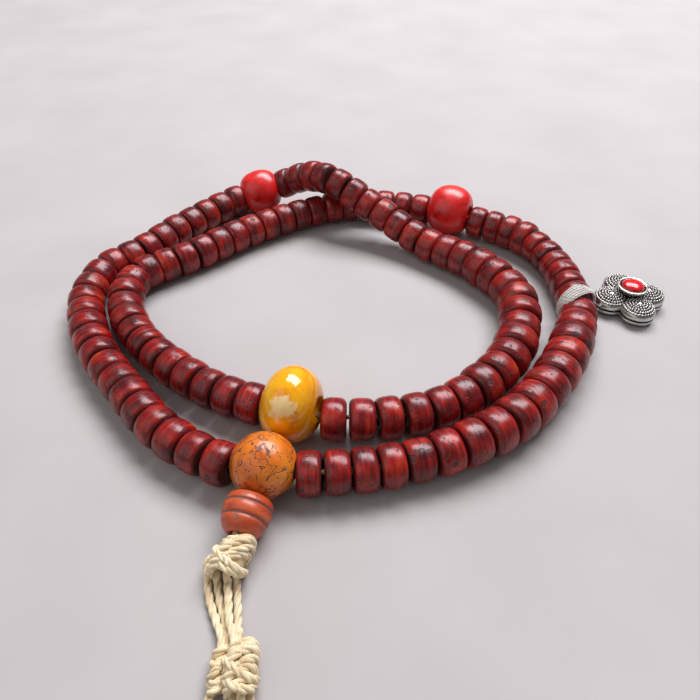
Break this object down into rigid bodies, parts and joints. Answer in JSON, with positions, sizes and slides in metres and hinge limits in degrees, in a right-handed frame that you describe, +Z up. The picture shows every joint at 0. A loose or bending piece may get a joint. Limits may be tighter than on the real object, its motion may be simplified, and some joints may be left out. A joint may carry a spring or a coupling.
{
  "type": "mala prayer beads",
  "caption": "String of disc prayer beads laid in a double loop, with marker beads, a guru bead with tower, a knotted cotton tassel and a quatrefoil silver charm.",
  "frame": {"origin": "centre of the footprint of the double loop with its charm and guru end, on the surface it lies on (free tassel cords left out)", "axes": "+Z up; the guru bead and the tassel point to -Y, the charm lies at +X, the two turns cross at +Y"},
  "size_m": [0.1565, 0.1833, 0.0191],
  "materials": {
    "bead_lacquer": "satin lacquer, streaked and pitted",
    "coral_red": "polished",
    "amber_yellow": "polished, cloudy yellow",
    "guru_orange": "satin, crackled orange",
    "string_cord": "twisted waxed cotton",
    "tassel_cotton": "twisted cotton",
    "white_thread": "fine sewing thread",
    "antique_silver": "antique silver, darkened in the recesses"
  },
  "bodies": {
    "string": {"main_cord": "string_cord"},
    "guru": {"guru_bead": "guru_orange", "tassel_core": "tassel_cotton", "top_knot": "tassel_cotton"},
    "tower": {"tower_bead": "guru_orange"},
    "tassel": {"tassel_cord_1": "tassel_cotton", "tassel_cord_2": "tassel_cotton", "tassel_cord_3": "tassel_cotton", "tassel_cord_4": "tassel_cotton", "lower_knot_left": "tassel_cotton", "lower_knot_right": "tassel_cotton", "tassel_end_1": "tassel_cotton", "tassel_end_2": "tassel_cotton", "tassel_end_3": "tassel_cotton", "tassel_end_4": "tassel_cotton"},
    "tie": {"thread_tie": "white_thread"},
    "charm": {"charm_eye": "antique_silver", "charm_back_plate": "antique_silver", "charm_front_plate": "antique_silver", "charm_bezel": "antique_silver", "charm_cabochon": "coral_red"},
    "coral_1": {"coral_bead_1": "coral_red"},
    "amber": {"amber_bead": "amber_yellow"},
    "coral_2": {"coral_bead_2": "coral_red"},
    "run_01": {"bead_run_01": "bead_lacquer"},
    "run_02": {"bead_run_02": "bead_lacquer"},
    "run_03": {"bead_run_03": "bead_lacquer"},
    "run_04": {"bead_run_04": "bead_lacquer"},
    "run_05": {"bead_run_05": "bead_lacquer"},
    "run_06": {"bead_run_06": "bead_lacquer"},
    "run_07": {"bead_run_07": "bead_lacquer"},
    "run_08": {"bead_run_08": "bead_lacquer"},
    "run_09": {"bead_run_09": "bead_lacquer"},
    "run_10": {"bead_run_10": "bead_lacquer"},
    "run_11": {"bead_run_11": "bead_lacquer"},
    "run_12": {"bead_run_12": "bead_lacquer"},
    "run_13": {"bead_run_13": "bead_lacquer"},
    "run_14": {"bead_run_14": "bead_lacquer"},
    "run_15": {"bead_run_15": "bead_lacquer"},
    "run_16": {"bead_run_16": "bead_lacquer"},
    "run_17": {"bead_run_17": "bead_lacquer"},
    "run_18": {"bead_run_18": "bead_lacquer"},
    "run_19": {"bead_run_19": "bead_lacquer"},
    "run_20": {"bead_run_20": "bead_lacquer"},
    "run_21": {"bead_run_21": "bead_lacquer"},
    "run_22": {"bead_run_22": "bead_lacquer"},
    "run_23": {"bead_run_23": "bead_lacquer"},
    "run_24": {"bead_run_24": "bead_lacquer"},
    "run_25": {"bead_run_25": "bead_lacquer"},
    "run_26": {"bead_run_26": "bead_lacquer"},
    "run_27": {"bead_run_27": "bead_lacquer"},
    "run_28": {"bead_run_28": "bead_lacquer"},
    "run_29": {"bead_run_29": "bead_lacquer"},
    "run_30": {"bead_run_30": "bead_lacquer"},
    "run_31": {"bead_run_31": "bead_lacquer"},
    "run_32": {"bead_run_32": "bead_lacquer"},
    "run_33": {"bead_run_33": "bead_lacquer"},
    "run_34": {"bead_run_34": "bead_lacquer"},
    "run_35": {"bead_run_35": "bead_lacquer"}
  },
  "joints": [
    {"name": "tassel_lift", "type": "hinge", "parent": "string", "child": "guru", "pos_m": [-0.0225, -0.04655, 0.0066], "axis": [-0.992, 0.1259, 0], "range_deg": [0, 75]},
    {"name": "tassel_swing", "type": "hinge", "parent": "guru", "child": "tassel", "pos_m": [-0.0265, -0.0631, 0.0035], "axis": [0, 0, 1], "range_deg": [-25, 25]},
    {"name": "charm_lift", "type": "hinge", "parent": "string", "child": "tie", "pos_m": [0.0524, 0.0047, 0.0046], "axis": [0.3584, -0.9336, 0], "range_deg": [0, 90]},
    {"name": "charm_swing", "type": "hinge", "parent": "tie", "child": "charm", "pos_m": [0.05772, 0.00674, 0.002], "axis": [0, 0, 1], "range_deg": [-35, 20]},
    {"name": "tower_spin", "type": "hinge", "parent": "guru", "child": "tower", "pos_m": [-0.02493, -0.05659, 0.00472], "axis": [-0.2311, -0.9563, -0.1791], "continuous": true},
    {"name": "amber_spin", "type": "hinge", "parent": "string", "child": "amber", "pos_m": [-0.018, -0.0319, 0.0081], "axis": [-0.9648, 0.2631, 0], "continuous": true},
    {"name": "coral_1_spin", "type": "hinge", "parent": "string", "child": "coral_1", "pos_m": [-0.0343, 0.06085, 0.00655], "axis": [0.9367, 0.2937, 0.1905], "continuous": true},
    {"name": "coral_2_spin", "type": "hinge", "parent": "string", "child": "coral_2", "pos_m": [0.02465, 0.0481, 0.00725], "axis": [0.9071, -0.4209, 0], "continuous": true},
    {"name": "run_01_spin", "type": "hinge", "parent": "string", "child": "run_01", "pos_m": [-0.03655, -0.0414, 0.0054], "axis": [-0.8594, 0.5028, -0.0935], "continuous": true},
    {"name": "run_02_spin", "type": "hinge", "parent": "string", "child": "run_02", "pos_m": [-0.04965, -0.0309, 0.0046], "axis": [-0.68, 0.7332, 0], "continuous": true},
    {"name": "run_03_spin", "type": "hinge", "parent": "string", "child": "run_03", "pos_m": [-0.06065, -0.01805, 0.0046], "axis": [-0.6196, 0.7849, 0], "continuous": true},
    {"name": "run_04_spin", "type": "hinge", "parent": "string", "child": "run_04", "pos_m": [-0.0685, -0.0064, 0.0046], "axis": [-0.4614, 0.8872, 0], "continuous": true},
    {"name": "run_05_spin", "type": "hinge", "parent": "string", "child": "run_05", "pos_m": [-0.07265, 0.004, 0.0046], "axis": [-0.2759, 0.9612, 0], "continuous": true},
    {"name": "run_06_spin", "type": "hinge", "parent": "string", "child": "run_06", "pos_m": [-0.0734, 0.01495, 0.0046], "axis": [0.1427, 0.9898, 0], "continuous": true},
    {"name": "run_07_spin", "type": "hinge", "parent": "string", "child": "run_07", "pos_m": [-0.069, 0.0247, 0.0046], "axis": [0.6508, 0.7593, 0], "continuous": true},
    {"name": "run_08_spin", "type": "hinge", "parent": "string", "child": "run_08", "pos_m": [-0.0605, 0.0358, 0.0046], "axis": [0.579, 0.8153, 0], "continuous": true},
    {"name": "run_09_spin", "type": "hinge", "parent": "string", "child": "run_09", "pos_m": [-0.0479, 0.05085, 0.0049], "axis": [0.6865, 0.7266, 0.0267], "continuous": true},
    {"name": "run_10_spin", "type": "hinge", "parent": "string", "child": "run_10", "pos_m": [-0.0236, 0.0602, 0.0104], "axis": [0.7877, -0.4103, 0.4595], "continuous": true},
    {"name": "run_11_spin", "type": "hinge", "parent": "string", "child": "run_11", "pos_m": [-0.015, 0.0547, 0.0141], "axis": [0.7717, -0.6092, 0.1828], "continuous": true},
    {"name": "run_12_spin", "type": "hinge", "parent": "string", "child": "run_12", "pos_m": [-0.00465, 0.04785, 0.0123], "axis": [0.8123, -0.4775, -0.3349], "continuous": true},
    {"name": "run_13_spin", "type": "hinge", "parent": "string", "child": "run_13", "pos_m": [0.00845, 0.03895, 0.0074], "axis": [0.7653, -0.5901, -0.2571], "continuous": true},
    {"name": "run_14_spin", "type": "hinge", "parent": "string", "child": "run_14", "pos_m": [0.0215, 0.0285, 0.0049], "axis": [0.7687, -0.6386, -0.0355], "continuous": true},
    {"name": "run_15_spin", "type": "hinge", "parent": "string", "child": "run_15", "pos_m": [0.03235, 0.01585, 0.0046], "axis": [0.5145, -0.8575, 0], "continuous": true},
    {"name": "run_16_spin", "type": "hinge", "parent": "string", "child": "run_16", "pos_m": [0.0355, 0.00045, 0.0046], "axis": [-0.1457, -0.9893, 0], "continuous": true},
    {"name": "run_17_spin", "type": "hinge", "parent": "string", "child": "run_17", "pos_m": [0.02985, -0.0148, 0.0046], "axis": [-0.5311, -0.8473, 0], "continuous": true},
    {"name": "run_18_spin", "type": "hinge", "parent": "string", "child": "run_18", "pos_m": [0.01825, -0.0264, 0.0046], "axis": [-0.8463, -0.5327, 0], "continuous": true},
    {"name": "run_19_spin", "type": "hinge", "parent": "string", "child": "run_19", "pos_m": [-0.00015, -0.0323, 0.0061], "axis": [-0.9838, -0.1224, 0.1312], "continuous": true},
    {"name": "run_20_spin", "type": "hinge", "parent": "string", "child": "run_20", "pos_m": [-0.032, -0.0264, 0.0061], "axis": [-0.8801, 0.44, -0.1784], "continuous": true},
    {"name": "run_21_spin", "type": "hinge", "parent": "string", "child": "run_21", "pos_m": [-0.0477, -0.01535, 0.0046], "axis": [-0.7487, 0.663, 0], "continuous": true},
    {"name": "run_22_spin", "type": "hinge", "parent": "string", "child": "run_22", "pos_m": [-0.05985, -0.00065, 0.0046], "axis": [-0.464, 0.8858, 0], "continuous": true},
    {"name": "run_23_spin", "type": "hinge", "parent": "string", "child": "run_23", "pos_m": [-0.0632, 0.0121, 0.0046], "axis": [0.0922, 0.9957, 0], "continuous": true},
    {"name": "run_24_spin", "type": "hinge", "parent": "string", "child": "run_24", "pos_m": [-0.0562, 0.02275, 0.0046], "axis": [0.7779, 0.6283, 0], "continuous": true},
    {"name": "run_25_spin", "type": "hinge", "parent": "string", "child": "run_25", "pos_m": [-0.04135, 0.0352, 0.0046], "axis": [0.7573, 0.653, 0], "continuous": true},
    {"name": "run_26_spin", "type": "hinge", "parent": "string", "child": "run_26", "pos_m": [-0.0235, 0.04775, 0.0046], "axis": [0.8713, 0.4907, 0], "continuous": true},
    {"name": "run_27_spin", "type": "hinge", "parent": "string", "child": "run_27", "pos_m": [-0.00585, 0.0542, 0.0046], "axis": [0.991, 0.1338, 0], "continuous": true},
    {"name": "run_28_spin", "type": "hinge", "parent": "string", "child": "run_28", "pos_m": [0.01035, 0.05315, 0.00575], "axis": [0.9571, -0.2556, 0.1367], "continuous": true},
    {"name": "run_29_spin", "type": "hinge", "parent": "string", "child": "run_29", "pos_m": [0.0372, 0.0414, 0.00575], "axis": [0.846, -0.5103, -0.1544], "continuous": true},
    {"name": "run_30_spin", "type": "hinge", "parent": "string", "child": "run_30", "pos_m": [0.04705, 0.03125, 0.0046], "axis": [0.488, -0.8729, 0], "continuous": true},
    {"name": "run_31_spin", "type": "hinge", "parent": "string", "child": "run_31", "pos_m": [0.0515, 0.0153, 0.0046], "axis": [0.0933, -0.9956, 0], "continuous": true},
    {"name": "run_32_spin", "type": "hinge", "parent": "string", "child": "run_32", "pos_m": [0.0478, -0.00725, 0.0046], "axis": [-0.3873, -0.922, 0], "continuous": true},
    {"name": "run_33_spin", "type": "hinge", "parent": "string", "child": "run_33", "pos_m": [0.0352, -0.0271, 0.0046], "axis": [-0.6685, -0.7437, 0], "continuous": true},
    {"name": "run_34_spin", "type": "hinge", "parent": "string", "child": "run_34", "pos_m": [0.0162, -0.0405, 0.0046], "axis": [-0.9255, -0.3786, 0], "continuous": true},
    {"name": "run_35_spin", "type": "hinge", "parent": "string", "child": "run_35", "pos_m": [-0.0053, -0.0462, 0.0054], "axis": [-0.9907, -0.1132, 0.0755], "continuous": true}
  ]
}
